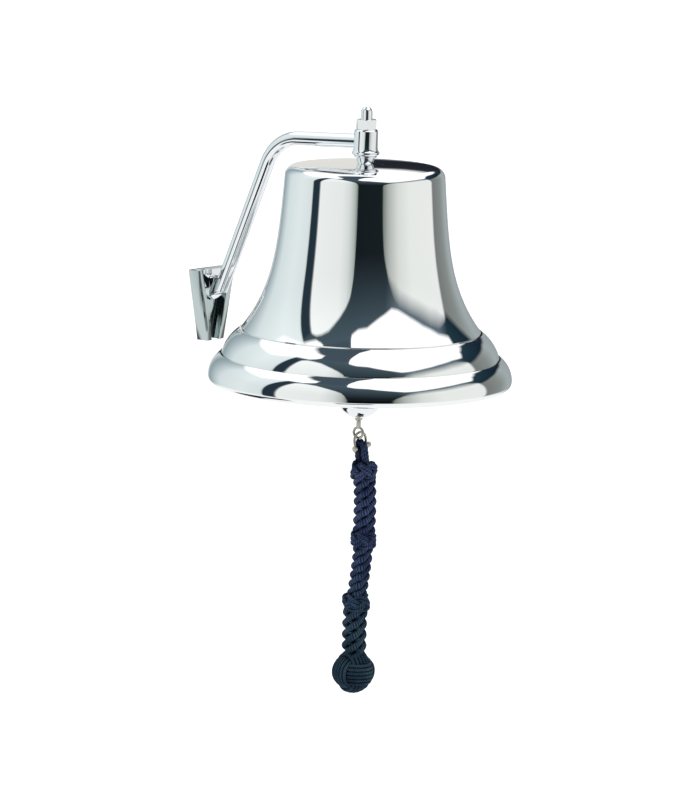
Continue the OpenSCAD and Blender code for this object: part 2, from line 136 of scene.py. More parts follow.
def alongFrames(points, closed):
    count = len(points)
    if closed:
        ways = np.roll(points, -1, 0) - np.roll(points, 1, 0)
    else:
        ways = np.gradient(points, axis=0)
    ways /= np.linalg.norm(ways, axis=1)[:, None]
    side = np.cross(ways[0], [0.31, 0.22, 0.93])
    sides = [side / np.linalg.norm(side)]
    for i in range(1, count):
        side = sides[-1] - ways[i] * np.dot(sides[-1], ways[i])
        sides.append(side / np.linalg.norm(side))
    sides = np.array(sides)
    if closed:     # the twist left over at the join is shared out along the loop
        last = sides[-1] - ways[0] * np.dot(sides[-1], ways[0])
        up = np.cross(ways[0], sides[0])
        left = math.atan2(np.dot(last, up), np.dot(last, sides[0]))
        turns = -left * np.arange(count) / count
        ups = np.cross(ways, sides)
        sides = sides * np.cos(turns)[:, None] + ups * np.sin(turns)[:, None]
    return ways, sides, np.cross(ways, sides)


def sweepTube(points, radius, sides=12, closed=False):
    points = np.array(points, float)
    count = len(points)
    _, across, up = alongFrames(points, closed)
    angles = 2 * np.pi * np.arange(sides) / sides
    ring = across[:, None] * np.cos(angles)[None, :, None] + up[:, None] * np.sin(angles)[None, :, None]
    verts = (points[:, None] + radius * ring).reshape(-1, 3)
    steps = np.linalg.norm(np.roll(points, -1, 0) - points, axis=1)
    run = np.concatenate([[0], np.cumsum(steps)])
    faces, uvs = [], []
    for i in range(count if closed else count - 1):
        j = (i + 1) % count
        for k in range(sides):
            m = (k + 1) % sides
            faces.append((i * sides + k, i * sides + m, j * sides + m, j * sides + k))
            u0, u1 = k / sides, (k + 1) / sides
            uvs.append(((u0, run[i]), (u1, run[i]), (u1, run[i + 1]), (u0, run[i + 1])))
    if not closed:
        for face in (tuple(range(sides - 1, -1, -1)), tuple((count - 1) * sides + k for k in range(sides))):
            faces.append(face)
            uvs.append(tuple((0, 0) for _ in face))
    return verts, faces, uvs


def turnedRound(outline, segments=160):
    # outline runs once round the section as (r, z), and closes on itself
    count = len(outline)
    angles = 2 * np.pi * np.arange(segments) / segments
    verts = [(r * math.cos(a), r * math.sin(a), z) for r, z in outline for a in angles]
    run = [0]
    for (r0, z0), (r1, z1) in zip(outline, outline[1:] + outline[:1]):
        run.append(run[-1] + math.hypot(r1 - r0, z1 - z0))
    faces, uvs = [], []
    for i in range(count):
        j = (i + 1) % count
        for k in range(segments):
            m = (k + 1) % segments
            faces.append((i * segments + k, i * segments + m, j * segments + m, j * segments + k))
            u0, u1 = k / segments, (k + 1) / segments
            uvs.append(((u0, run[i]), (u1, run[i]), (u1, run[i + 1]), (u0, run[i + 1])))
    return np.array(verts), faces, uvs


def makePiece(name, parts, material, place=(0, 0, 0), sharp=40):
    verts, faces, uvs = [], [], []
    for partVerts, partFaces, partUvs in parts:
        first = len(verts)
        verts += [tuple(v) for v in partVerts]
        faces += [tuple(first + i for i in face) for face in partFaces]
        uvs += partUvs
    mesh = bpy.data.meshes.new(name)
    mesh.from_pydata(verts, [], faces)
    layer = mesh.uv_layers.new(name="UVMap")
    layer.data.foreach_set("uv", [c for face in uvs for uv in face for c in uv])
    mesh.transform(Matrix.Translation(place))
    shape = bmesh.new()
    shape.from_mesh(mesh)
    bmesh.ops.recalc_face_normals(shape, faces=shape.faces)
    shape.to_mesh(mesh)
    shape.free()
    mesh.shade_smooth()
    mesh.set_sharp_from_angle(angle=math.radians(sharp))
    mesh.materials.append(material)
    piece = bpy.data.objects.new(name, mesh)
    bpy.context.collection.objects.link(piece)
    return piece


def standsFor(piece, node):
    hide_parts(node)
    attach(piece, bodyOf[node])
    return piece


waveRadians = 20     # a wave texture turns through this many radians in one unit of its scale
polishing = {"hazeMm": 9, "waveMm": 22, "waveDeepMm": 0.5, "lineMm": 4.4, "lineDeepMm": 0.05, "line": 0.012}


def polishedChrome(name, tint, roughLow, roughHigh, waviness):
    # chromed brass, buffed on a wheel: hard-edged reflections that waver a little over the casting,
    # with faint haze where the last buffing was lighter
    material, tree, shader = newMaterial(name)
    shader.inputs["Base Color"].default_value = hexColour(tint)
    shader.inputs["Metallic"].default_value = 1
    place = addNode(tree, "ShaderNodeTexCoord").outputs["Object"]
    haze = addNode(tree, "ShaderNodeTexNoise", {"Scale": 1 / (polishing["hazeMm"] * mm), "Detail": 4},
                   {"Vector": place})
    rough = addNode(tree, "ShaderNodeMapRange", {"To Min": roughLow, "To Max": roughHigh},
                    {"Value": haze.outputs["Fac"]})
    tree.links.new(rough.outputs["Result"], shader.inputs["Roughness"])
    wave = addNode(tree, "ShaderNodeTexNoise", {"Scale": 1 / (polishing["waveMm"] * mm), "Detail": 1},
                   {"Vector": place})
    casting = addNode(tree, "ShaderNodeBump",
                      {"Strength": waviness, "Distance": polishing["waveDeepMm"] * mm},
                      {"Height": wave.outputs["Fac"]})
    # buffing lines are finer than they could show, so they are drawn this coarse
    lines = addNode(tree, "ShaderNodeTexWave", {"bands_direction": "Z", "Distortion": 1.5, "Detail": 2,
                    "Scale": 2 * math.pi / (polishing["lineMm"] * mm) / waveRadians}, {"Vector": place})
    buffing = addNode(tree, "ShaderNodeBump",
                      {"Strength": polishing["line"], "Distance": polishing["lineDeepMm"] * mm},
                      {"Height": lines.outputs["Fac"], "Normal": casting.outputs["Normal"]})
    tree.links.new(buffing.outputs["Normal"], shader.inputs["Normal"])
    return material


# the groove and bed values below also set painted shade: they darken the cord's colour in its grooves and
# where its strands bed together
cordLook = {"yarns": 3, "layMm": 4.2, "fibreMm": 0.35, "fibreShare": 0.35, "grooveMm": 0.22,
            "grooveLowAndShade": 0.3, "dyeMm": 14, "dyes": [(0, "#080f2a"), (0.22, "#19233f"), (0.75, "#4f5d7e")],
            "worn": "#d2f4cc", "wornFromZ": -0.15, "wornToZ": -0.22,
            "paintedShadeReachMm": 3.4, "paintedShadeDarkest": 0.02, "paintedShadeOpen": (0.35, 0.95)}


def laidNavyCord():
    # cotton cord in navy dye, laid from three yarns: matt, with a soft pale fuzz at glancing angles; painted
    # shade darkens its colour in the grooves of its lay and where its strands bed together
    look = cordLook
    material, tree, shader = newMaterial("laidNavyCord")
    shader.inputs["Roughness"].default_value = 0.86
    shader.inputs["Specular IOR Level"].default_value = 0.06
    shader.inputs["Sheen Weight"].default_value = 0.08
    shader.inputs["Sheen Roughness"].default_value = 0.5
    shader.inputs["Sheen Tint"].default_value = hexColour("#7d8eb2")
    coords = addNode(tree, "ShaderNodeTexCoord")
    # the cord's own coordinates: x once round it, y in metres along it
    onCord = addNode(tree, "ShaderNodeSeparateXYZ", {}, {"Vector": coords.outputs["UV"]})
    yarnTurn = look["yarns"] * 2 * math.pi
    around = addNode(tree, "ShaderNodeMath", {"operation": "MULTIPLY", 1: yarnTurn}, {0: onCord.outputs["X"]})
    along = addNode(tree, "ShaderNodeMath", {"operation": "MULTIPLY", 1: yarnTurn / (look["layMm"] * mm)},
                    {0: onCord.outputs["Y"]})
    turn = addNode(tree, "ShaderNodeMath", {"operation": "ADD"}, {0: around.outputs[0], 1: along.outputs[0]})
    lay = addNode(tree, "ShaderNodeMath", {"operation": "SINE"}, {0: turn.outputs[0]})
    fibre = addNode(tree, "ShaderNodeTexNoise", {"Scale": 1 / (look["fibreMm"] * mm), "Detail": 3},
                    {"Vector": coords.outputs["Object"]})
    grooves = addNode(tree, "ShaderNodeMapRange",
                      {"From Min": -1, "From Max": 1, "To Min": look["grooveLowAndShade"]},
                      {"Value": lay.outputs[0]})
    height = addNode(tree, "ShaderNodeMath", {"operation": "MULTIPLY_ADD", 1: look["fibreShare"]},
                     {0: fibre.outputs["Fac"], 2: grooves.outputs["Result"]})
    bump = addNode(tree, "ShaderNodeBump", {"Strength": 0.5, "Distance": look["grooveMm"] * mm},
                   {"Height": height.outputs[0]})
    tree.links.new(bump.outputs["Normal"], shader.inputs["Normal"])
    dye = addNode(tree, "ShaderNodeTexNoise", {"Scale": 1 / (look["dyeMm"] * mm), "Detail": 2},
                  {"Vector": coords.outputs["Object"]})
    # painted shade: the dye tone is multiplied down along the grooves of the lay
    shade = addNode(tree, "ShaderNodeMath", {"operation": "MULTIPLY"},
                    {0: dye.outputs["Fac"], 1: grooves.outputs["Result"]})
    ramp = addNode(tree, "ShaderNodeValToRGB", {}, {"Fac": shade.outputs[0]})
    fillRamp(ramp, [(at, hexColour(code)) for at, code in look["dyes"]])
    # handling has worn the dye greener towards the free end
    place = addNode(tree, "ShaderNodeSeparateXYZ", {}, {"Vector": coords.outputs["Object"]})
    worn = addNode(tree, "ShaderNodeMapRange", {"From Min": look["wornFromZ"], "From Max": look["wornToZ"]},
                   {"Value": place.outputs["Z"]})
    aged = addNode(tree, "ShaderNodeMixRGB", {"blend_type": "MULTIPLY", "Color2": hexColour(look["worn"])},
                   {"Fac": worn.outputs["Result"], "Color1": ramp.outputs["Color"]})
    # painted shade: ambient occlusion darkens the colour where the strands bed into each other
    bedded = addNode(tree, "ShaderNodeAmbientOcclusion", {"samples": 6, "Distance": look["paintedShadeReachMm"] * mm})
    closed, wide = look["paintedShadeOpen"]
    depth = addNode(tree, "ShaderNodeMapRange",
                    {"From Min": closed, "From Max": wide, "To Min": look["paintedShadeDarkest"], "To Max": 1},
                    {"Value": bedded.outputs["AO"]})
    dyedAndShaded = addNode(tree, "ShaderNodeVectorMath", {"operation": "SCALE"},
                   {0: aged.outputs["Color"], "Scale": depth.outputs["Result"]})
    tree.links.new(dyedAndShaded.outputs["Vector"], shader.inputs["Base Color"])
    return material


def pressedFibre():
    # red vulcanised fibre, punched from sheet: dull, faintly mottled by its pressed paper
    look = {"mottleMm": 1.2, "reliefMm": 0.1, "reds": [(0.3, "#4d1d14"), (0.7, "#7a3425")]}
    material, tree, shader = newMaterial("pressedRedFibre")
    shader.inputs["Roughness"].default_value = 0.6
    place = addNode(tree, "ShaderNodeTexCoord").outputs["Object"]
    mottle = addNode(tree, "ShaderNodeTexNoise", {"Scale": 1 / (look["mottleMm"] * mm), "Detail": 5},
                     {"Vector": place})
    ramp = addNode(tree, "ShaderNodeValToRGB", {}, {"Fac": mottle.outputs["Fac"]})
    fillRamp(ramp, [(at, hexColour(code)) for at, code in look["reds"]])
    tree.links.new(ramp.outputs["Color"], shader.inputs["Base Color"])
    bump = addNode(tree, "ShaderNodeBump", {"Strength": 0.2, "Distance": look["reliefMm"] * mm},
                   {"Height": mottle.outputs["Fac"]})
    tree.links.new(bump.outputs["Normal"], shader.inputs["Normal"])
    return material


def turnedBeech():
    # plain turned beech: pale, with soft wide figure and no varnish
    look = {"figureMm": 10, "browns": [(0, "#b58e62"), (1, "#d6b487")]}
    material, tree, shader = newMaterial("turnedBeech")
    shader.inputs["Roughness"].default_value = 0.65
    place = addNode(tree, "ShaderNodeTexCoord").outputs["Object"]
    rings = addNode(tree, "ShaderNodeTexWave", {"wave_type": "RINGS", "Distortion": 3, "Detail": 3,
                    "Scale": 2 * math.pi / (look["figureMm"] * mm) / waveRadians}, {"Vector": place})
    ramp = addNode(tree, "ShaderNodeValToRGB", {}, {"Fac": rings.outputs["Fac"]})
    fillRamp(ramp, [(at, hexColour(code)) for at, code in look["browns"]])
    tree.links.new(ramp.outputs["Color"], shader.inputs["Base Color"])
    return material


bellChrome = polishedChrome("mirrorChromeOnCastBrass", "#f4f5f6", 0.02, 0.05, 0.05)
fittingChrome = polishedChrome("brightChromeOnTurnedBrass", "#eff1f4", 0.02, 0.05, 0.03)
# linished before plating and not buffed, so its reflections are a little soft and grey
socketChrome = polishedChrome("satinChromeOnCastBrass", "#bfc9ca", 0.06, 0.1, 0.04)
# nickel on drawn wire, tumbled and not buffed: greyer and softer than the chrome
wireNickel = polishedChrome("tumbledNickelOnDrawnWire", "#b4b0a6", 0.08, 0.16, 0.05)
cordMaterial = laidNavyCord()
nodeFinish = {"fibre": pressedFibre(), "beech": turnedBeech(), "navy_cord": cordMaterial,
              "chromed_brass": fittingChrome, "chromed_fittings": fittingChrome}
print("materials made")

# the route of the plaited rope, in metres, from the first knot to the heart of the fist
ropeRoute = [(0.1415, 0.0053, -0.097), (0.1416, 0.0054, -0.103), (0.1424, 0.006, -0.115),
             (0.1428, 0.0061, -0.127), (0.1428, 0.0059, -0.139), (0.1426, 0.0056, -0.151),
             (0.1422, 0.0054, -0.163), (0.1412, 0.0049, -0.174), (0.1401, 0.0042, -0.185),
             (0.1392, 0.0035, -0.196), (0.1388, 0.0031, -0.207), (0.1388, 0.0029, -0.218),
             (0.1389, 0.0029, -0.229), (0.1389, 0.0029, -0.236)]
# thick strands go round one way (1) over thinner ones that go the other way (-1) and lie deeper; the
# rope has its own radius and length of bump in each stretch between knots
plait = {"diameter": 14.6 * mm, "perWay": 4, "weave": 0.7 * mm, "strand": {1: 2.4 * mm, -1: 1.7 * mm},
         "bedded": {1: 0, -1: 1.5 * mm}, "radius": [8.1 * mm, 7.2 * mm, 8.8 * mm],
         "bump": [6.8 * mm, 6.4 * mm, 7.8 * mm], "settle": 4 * mm, "heartFill": 1.6 * mm}
knotIndex = [1, 5, 9]     # where the three knots sit on the route


def smoothRoute(points, perStep):
    points = np.array(points, float)
    padded = np.vstack([2 * points[0] - points[1], points, 2 * points[-1] - points[-2]])
    curve = []
    for i in range(1, len(padded) - 2):
        a, b, c, d = padded[i - 1:i + 3]
        for t in np.arange(perStep) / perStep:
            curve.append(0.5 * (2 * b + (c - a) * t + (2 * a - 5 * b + 4 * c - d) * t ** 2
                                + (3 * b - a - 3 * c + d) * t ** 3))
    curve.append(points[-1])
    return np.array(curve)


def plaitedRope():
    line = smoothRoute(ropeRoute, 20)
    _, across, up = alongFrames(line, False)
    steps = np.linalg.norm(np.diff(line, axis=0), axis=1)
    length = float(steps.sum())
    depth = -line[:, 2]
    first, second, third = [-ropeRoute[i][2] for i in knotIndex]
    settle = plait["settle"]
    upper, middle, lower = plait["radius"]
    radius = np.interp(depth, [first, second - settle, second + settle, third - settle, third + settle],
                       [upper, upper, middle, middle, lower])
    upper, middle, lower = plait["bump"]
    bump = np.interp(depth, [first, second, second + settle, third, third + settle],
                     [upper, upper, middle, middle, lower])
    turns = np.concatenate([[0], np.cumsum(steps / (plait["perWay"] * (bump[1:] + bump[:-1]) / 2))])
    parts = []
    for way in (1, -1):
        seat = radius - plait["strand"][way] - plait["weave"] - plait["bedded"][way]
        out = seat + way * plait["weave"] * np.cos(2 * np.pi * plait["perWay"] * turns)
        for i in range(plait["perWay"]):
            angle = way * 2 * np.pi * turns + 2 * np.pi * i / plait["perWay"]
            strand = line + out[:, None] * (across * np.cos(angle)[:, None] + up * np.sin(angle)[:, None])
            parts.append(sweepTube(strand, plait["strand"][way], 12))
    # the heart that the strands are laid round
    heart = radius - 2 * plait["strand"][1] - plait["weave"]
    parts.append(sweepTube(line, float(heart.min()) + plait["heartFill"], 16))
    piece = makePiece("plaitedRope", parts, cordMaterial)
    return standsFor(piece, "bell_rope"), line, length


def turksHead(index, node):
    # three leads and five bights, followed round twice, with each crossing over then under
    low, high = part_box(node)
    knot = {"leads": 3, "bights": 5, "strand": 1.4 * mm, "weave": 1.0 * mm, "apart": 2.6 * mm,
            "taper": 0.2, "edge": 1.82 * mm}
    half = (high.z - low.z) / 2 - knot["edge"] - knot["apart"] / 2
    middle = (high.x - low.x) / 2 - knot["strand"] - knot["weave"]
    centre = np.array(ropeRoute[knotIndex[index]])
    t = 2 * np.pi * np.arange(720) / 720
    parts = []
    for follow in (-0.5, 0.5):
        barrel = 1 - knot["taper"] * np.cos(knot["bights"] * t) ** 4
        out = middle * barrel + knot["weave"] * np.sin(2 * knot["bights"] * t)
        angle = knot["leads"] * t + index
        rise = half * np.cos(knot["bights"] * t) + follow * knot["apart"]
        ring = np.stack([out * np.cos(angle), out * np.sin(angle), rise], 1)
        parts.append(sweepTube(centre + ring, knot["strand"], 10, True))
    return standsFor(makePiece("turksHead_%d" % (index + 1), parts, cordMaterial), node)


def monkeysFist():
    # three bands of six turns, each band over one neighbour and under the other
    low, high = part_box("monkeys_fist")
    fist = {"turns": 6, "strand": 1.25 * mm, "turned": -14}
    centre = (low + high) / 2
    outer = (high.x - low.x) / 2 - fist["strand"]
    middle, weave = outer - fist["strand"], fist["strand"]
    t = 2 * np.pi * np.arange(96) / 96
    reach = middle + weave * np.cos(2 * t)
    parts = []
    spin = np.array(Matrix.Rotation(math.radians(fist["turned"]), 3, "Z"))
    for band in range(3):
        for k in range(fist["turns"]):
            offset = (k - (fist["turns"] - 1) / 2) * 2 * fist["strand"]
            flat = np.sqrt(reach ** 2 - offset ** 2)
            loop = np.stack([flat * np.cos(t), flat * np.sin(t), np.full(len(t), offset)], 1)
            loop = np.roll(loop, band, 1) @ spin.T
            parts.append(sweepTube(np.array(centre) + loop, fist["strand"], 10, True))
    return standsFor(makePiece("monkeysFist", parts, cordMaterial), "monkeys_fist")


def ropeBight():
    # a short length of the same cord, bent over the shackle's pin, its legs into the first knot
    bight = {"turn": 80, "tilt": 10, "radius": 3.55 * mm, "leg": 12 * mm, "strands": 3, "strand": 1.4 * mm,
             "lay": 9 * mm, "layOut": 1.25 * mm}
    pin = frame["record"]["behaviour"]["joints"][-1]["pos_m"]
    angles = np.linspace(0, np.pi, 24)
    legs = np.linspace(-bight["leg"], 0, 16)[:-1]
    flat = [(bight["radius"], z) for z in legs]
    flat += [(bight["radius"] * math.cos(a), bight["radius"] * math.sin(a)) for a in angles]
    flat += [(-bight["radius"], z) for z in legs[::-1]]
    turned = Matrix.Rotation(math.radians(bight["turn"]), 3, "Z")
    pose = turned @ Matrix.Rotation(-math.radians(bight["tilt"]), 3, "Y")
    line = np.array([Vector(pin) + pose @ Vector((0, y, z)) for y, z in flat])
    line = smoothRoute(line, 3)
    _, across, up = alongFrames(line, False)
    run = np.concatenate([[0], np.cumsum(np.linalg.norm(np.diff(line, axis=0), axis=1))])
    parts = []
    for i in range(bight["strands"]):
        angle = 2 * np.pi * (run / bight["lay"] + i / bight["strands"])
        strand = line + bight["layOut"] * (across * np.cos(angle)[:, None] + up * np.sin(angle)[:, None])
        parts.append(sweepTube(strand, bight["strand"], 12))
    return standsFor(makePiece("ropeBight", parts, cordMaterial), "rope_bight"), pin


rope, ropeLine, ropeLength = plaitedRope()
knots = [turksHead(i, "turks_head_%d" % (i + 1)) for i in range(3)]
fist = monkeysFist()
bightPiece, ropeExit = ropeBight()
print("bell rope plaited")

# all in millimetres; the waist flares evenly by the first share and by a power for the rest
bellShape = {"height": 152, "mouth": 210, "shoulder": 110.2, "shoulderRadius": 7, "crownDrop": 1.8,
             "crownFlat": 10, "crown": 5, "wall": 4, "flareShare": 0.3, "flarePower": 3.8,
             "mouldHeight": 17.5, "mouldStep": 13.2, "mouldBulge": 1.95, "rimHeight": 20.1, "rimStep": 9.2,
             "rimBulge": 2.45, "lip": 4.2, "lipFoot": 4.4, "hole": 4.2, "innerCorner": 5,
             "lineDeep": 0.6, "lineWide": 0.5, "meetsWaist": 84}


def bulgeArc(start, end, stand, steps):
    start, end = np.array(start, float), np.array(end, float)
    chord = np.linalg.norm(end - start)
    radius = (chord ** 2 / 4 + stand ** 2) / (2 * stand)
    way = (end - start) / chord
    side = np.array([way[1], -way[0]])
    middle = (start + end) / 2 - side * (radius - stand)
    half = math.asin(chord / 2 / radius)
    angles = np.linspace(-half, half, steps + 1)[1:]
    return [tuple(middle + radius * (way * math.sin(a) + side * math.cos(a))) for a in angles]


def cornerArc(centre, radius, first, last, steps):
    angles = [math.radians(first + (last - first) * i / steps) for i in range(steps + 1)]
    return [(centre[0] + radius * math.sin(a), centre[1] - radius * math.cos(a)) for a in angles]


def bellOutline():
    # r out from the axis and h down from the crown, in millimetres
    s = bellShape
    shoulder = s["shoulder"] / 2
    seat = s["crownDrop"] + s["shoulderRadius"]
    grooveB = (s["mouth"] / 2 - s["rimStep"], s["height"] - s["rimHeight"])
    grooveA = (grooveB[0] - s["mouldStep"], grooveB[1] - s["mouldHeight"])
    domeEdge = shoulder - s["shoulderRadius"]
    domeTilt = math.degrees(math.atan(2 * s["crownDrop"] / (domeEdge - s["crownFlat"])))
    waist, inside = [], []
    even, power = s["flareShare"], s["flarePower"]
    for t in np.linspace(0, 1, 121):
        flare = even * t + (1 - even) * t ** power
        slope = even + (1 - even) * power * t ** (power - 1)
        lean = slope * (grooveA[0] - shoulder) / (grooveA[1] - seat)
        r = shoulder + (grooveA[0] - shoulder) * flare
        h = seat + (grooveA[1] - seat) * t
        waist.append((r, h))
        inside.append((r - s["wall"] * math.sqrt(1 + lean ** 2), h))
    outline = [(s["hole"], 0)]
    for t in np.linspace(0, 1, 40):
        outline.append((s["crownFlat"] + (domeEdge - s["crownFlat"]) * t, s["crownDrop"] * t ** 2))
    outline += cornerArc((domeEdge, seat), s["shoulderRadius"], domeTilt, s["meetsWaist"], 28)[1:] + waist[1:]
    lipTop = (s["mouth"] / 2, s["height"] - s["lip"])
    for start, end, stand in ((grooveA, grooveB, s["mouldBulge"]), (grooveB, lipTop, s["rimBulge"])):
        arc = bulgeArc(start, end, stand, 48)
        line = np.array(outline[-1]) - np.array([s["lineDeep"], 0])
        outline += [tuple(line), tuple(line + np.array([0, s["lineWide"]]))] + arc[2:]
    outline += cornerArc((s["mouth"] / 2 - s["lip"], s["height"] - s["lip"]), s["lip"], 90, 180, 20)[1:]
    foot = (s["mouth"] / 2 - s["lip"] - s["lipFoot"] / 2, s["height"] - s["lipFoot"] / 2)
    outline += cornerArc(foot, s["lipFoot"] / 2, 180, 270, 12)[1:]
    outline += inside[::-1]
    ceiling = (inside[0][0] - s["innerCorner"], s["crown"] + s["innerCorner"])
    outline += cornerArc(ceiling, s["innerCorner"], s["meetsWaist"], 0, 12)
    outline.append((s["hole"], s["crown"]))
    return [(r * mm, -h * mm) for r, h in outline]


bell = makePiece("bellShell", [turnedRound(bellOutline(), 256)], bellChrome, (axisX, 0, crownZ), 16)
standsFor(bell, "bell")
print("bell turned")

# in millimetres and degrees, in the arm's own upright plane
barShape = {"radius": 5, "cornerX": 61, "bend": 32, "slant": 23, "rise": 3, "foot": 11, "endZ": 127.3}


def armBar():
    # two straight runs and one bend, with the ends lost in the foot and the hub
    s = barShape
    slant, rise = math.radians(s["slant"]), math.radians(s["rise"])
    low = np.array([math.sin(slant), 0, math.cos(slant)])
    high = np.array([math.cos(rise), 0, math.sin(rise)])
    hubZ = s["endZ"]
    corner = np.array([s["cornerX"], 0, hubZ - (axisX / mm - s["cornerX"]) * math.tan(rise)])
    turn = math.pi / 2 - slant - rise
    tangent = s["bend"] * math.tan(turn / 2)
    bendStart, bendEnd = corner - tangent * low, corner + tangent * high
    centre = bendStart + s["bend"] * np.array([math.cos(slant), 0, -math.sin(slant)])
    foot = corner - low * (corner[2] - s["foot"]) / math.cos(slant)
    points = [foot + (bendStart - foot) * t for t in np.linspace(0, 1, 12)[:-1]]
    first = bendStart - centre
    for a in np.linspace(0, turn, 40):
        points.append(centre + first * math.cos(a) + s["bend"] * low * math.sin(a))
    finish = np.array([axisX / mm, 0, hubZ])
    points += [bendEnd + (finish - bendEnd) * t for t in np.linspace(0, 1, 12)[1:]]
    tube = sweepTube(np.array(points) * mm, s["radius"] * mm, 48)
    return standsFor(makePiece("bentBar", [tube], fittingChrome, sharp=50), "arm_bar")


clean = {"weldMm": 0.002, "flatDegrees": 0.6, "edgeDegrees": 28}


def softEdged(node, edgeMm, material):
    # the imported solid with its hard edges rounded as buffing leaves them
    mesh = frame["nodes"][node].data.copy()
    mesh.materials.clear()
    mesh.materials.append(material)
    piece = bpy.data.objects.new(node + "_finished", mesh)
    bpy.context.collection.objects.link(piece)
    shape = bmesh.new()
    shape.from_mesh(mesh)
    bmesh.ops.remove_doubles(shape, verts=shape.verts, dist=clean["weldMm"] * mm)
    bmesh.ops.dissolve_limit(shape, angle_limit=math.radians(clean["flatDegrees"]), verts=shape.verts,
                             edges=shape.edges)
    shape.to_mesh(mesh)
    shape.free()
    mesh.shade_smooth()
    rounding = piece.modifiers.new("edges", "BEVEL")
    rounding.width = edgeMm * mm
    rounding.segments = 3
    rounding.limit_method = "ANGLE"
    rounding.angle_limit = math.radians(clean["edgeDegrees"])
    rounding.harden_normals = True
    return standsFor(piece, node)


armBar()
# how wide each fitting's edges are rounded, in millimetres
edgeSizes = {"wall_socket": 0.45, "arm_foot": 0.8, "arm_hub": 0.25, "top_nut": 0.25, "hub_washer": 0.2,
             "crown_spacer": 0.15, "inner_washer": 0.2, "inner_nut": 0.2, "clapper_pin": 0.2,
             "clapper_rod": 0.3, "hanger_stud": 0.3, "clapper_shackle": 0.2, "clapper_tail": 0.12,
             "rope_shackle": 0.12, "rope_pin": 0.12, "inner_gasket": 0.15}
ownFinish = {"wall_socket": socketChrome, "clapper_tail": wireNickel, "rope_shackle": wireNickel,
             "rope_pin": wireNickel}
for nodeName, edge in edgeSizes.items():
    softEdged(nodeName, edge, ownFinish.get(nodeName, nodeFinish[slotOf[nodeName]]))
print("arm and fittings finished")


ballShape = {"bore": 3 * mm, "boreEase": 0.4 * mm}


def clapperBall():
    low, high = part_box("clapper_ball")
    radius = (high.x - low.x) / 2
    bore = ballShape["bore"]
    first = math.asin(bore / radius)
    angles = np.linspace(first, math.pi - first, 90)
    outline = [(radius * math.sin(a), radius * math.cos(a)) for a in angles]
    end = radius * math.cos(first) - ballShape["boreEase"]
    outline += [(bore, -end), (bore, end)]
    centre = (low + high) / 2
    piece = makePiece("castBall", [turnedRound(outline, 128)], fittingChrome, centre)
    return standsFor(piece, "clapper_ball")


clapperBall()
for nodeName, thing in frame["nodes"].items():      # anything of the frame that still shows
    if not thing.hide_render:
        thing.data.materials.clear()
        thing.data.materials.append(nodeFinish[slotOf[nodeName]])
print("clapper finished")


floorShape = {"half": 16, "below": 0.35, "glow": 0.45}     # metres, and how much light it gives back evenly


def paleFloor():
    mesh = bpy.data.meshes.new("floor")
    half, level = floorShape["half"], cadLow.z - floorShape["below"]
    corners = [(-half, -half, level), (half, -half, level), (half, half, level), (-half, half, level)]
    mesh.from_pydata(corners, [], [(0, 1, 2, 3)])
    floor = bpy.data.objects.new("floor", mesh)
    bpy.context.collection.objects.link(floor)
    material, tree, shader = newMaterial("paintedFloor")     # matt white paint, rolled on
    shader.inputs["Base Color"].default_value = hexColour("#f2f2f2")
    shader.inputs["Roughness"].default_value = 0.9
    shader.inputs["Emission Color"].default_value = hexColour("#ffffff")
    shader.inputs["Emission Strength"].default_value = floorShape["glow"]
    mesh.materials.append(material)
    floor.visible_glossy = False


# the two level ways that bearings are read from, the softness of the edges overhead in degrees, and
# how bright the plain parts are; each span is a pair of heights with the values at its two ends
studio = {"right": (0.788, 0.616, 0), "back": (0.616, -0.788, 0), "soft": 1.4, "ceiling": (1.2, 1.2, 1.2, 1),
          "zenith": "#44525d", "ground": (1, 1.01, 1.01, 1), "groundSpan": (-14, -24),
          "cardSpan": (15, 50, 1, 1.14), "clothSpan": (8, 60, 0.12, 1)}
# cards round the bell by bearing: degrees round from the front, positive to the right, with the
# colour each has at its foot
cards = [(-180, "#e4e3de"), (-175, "#e4e3de"), (-173, "#e9eff0"), (-158, "#8fa0a6"), (-148, "#a9b9bd"),
         (-130, "#dbe6e7"), (-100, "#e8f1f0"), (-79, "#e0e9e9"), (-77.5, "#25343e"), (-66.5, "#25343e"),
         (-65, "#f4f7f5"), (-30, "#eef2ef"), (-20, "#dce1de"), (-13, "#b9c0ba"), (-10, "#8d958e"),
         (-8.5, "#0b1114"), (24.5, "#0b1216"), (26.5, "#7c837c"), (34, "#b4b9b4"), (48, "#dfe3df"),
         (66, "#f0f3ef"), (109, "#f2f4f1"), (111.5, "#7b7f7c"), (132, "#8a908d"), (150, "#a6afb0"),
         (172, "#9aa2a6"), (180, "#8a9096")]
# how high each card reaches, in degrees above level, and how softly each ends
cardTops = [(-180, 13), (-176, 14), (-173, 68), (-79, 68), (-77.5, 50), (-66, 48), (-61, 51), (-54, 51.5),
            (-43, 50), (-35, 46), (-27, 41), (-20, 35), (-14.5, 28), (-11, 16), (-9, -30), (25, -30),
            (28, 8), (34, 17), (40, 22), (48, 26), (62, 28), (90, 29), (103, 27), (110, 24), (112, 21),
            (130, 21), (150, 18), (165, 11), (172, 7), (178, 0), (180, -2)]
cardSoft = [(-180, 1.4), (32, 1.6), (42, 6), (100, 6), (110, 2), (180, 1.4)]
# dark cloth hangs behind the cards
cloths = [(-180, "#2a3740"), (-60, "#4a5a64"), (-10, "#4a5c66"), (30, "#52646e"), (44, "#8294a0"),
          (100, "#8093a0"), (111, "#31505f"), (150, "#2c4455"), (180, "#6a7080")]
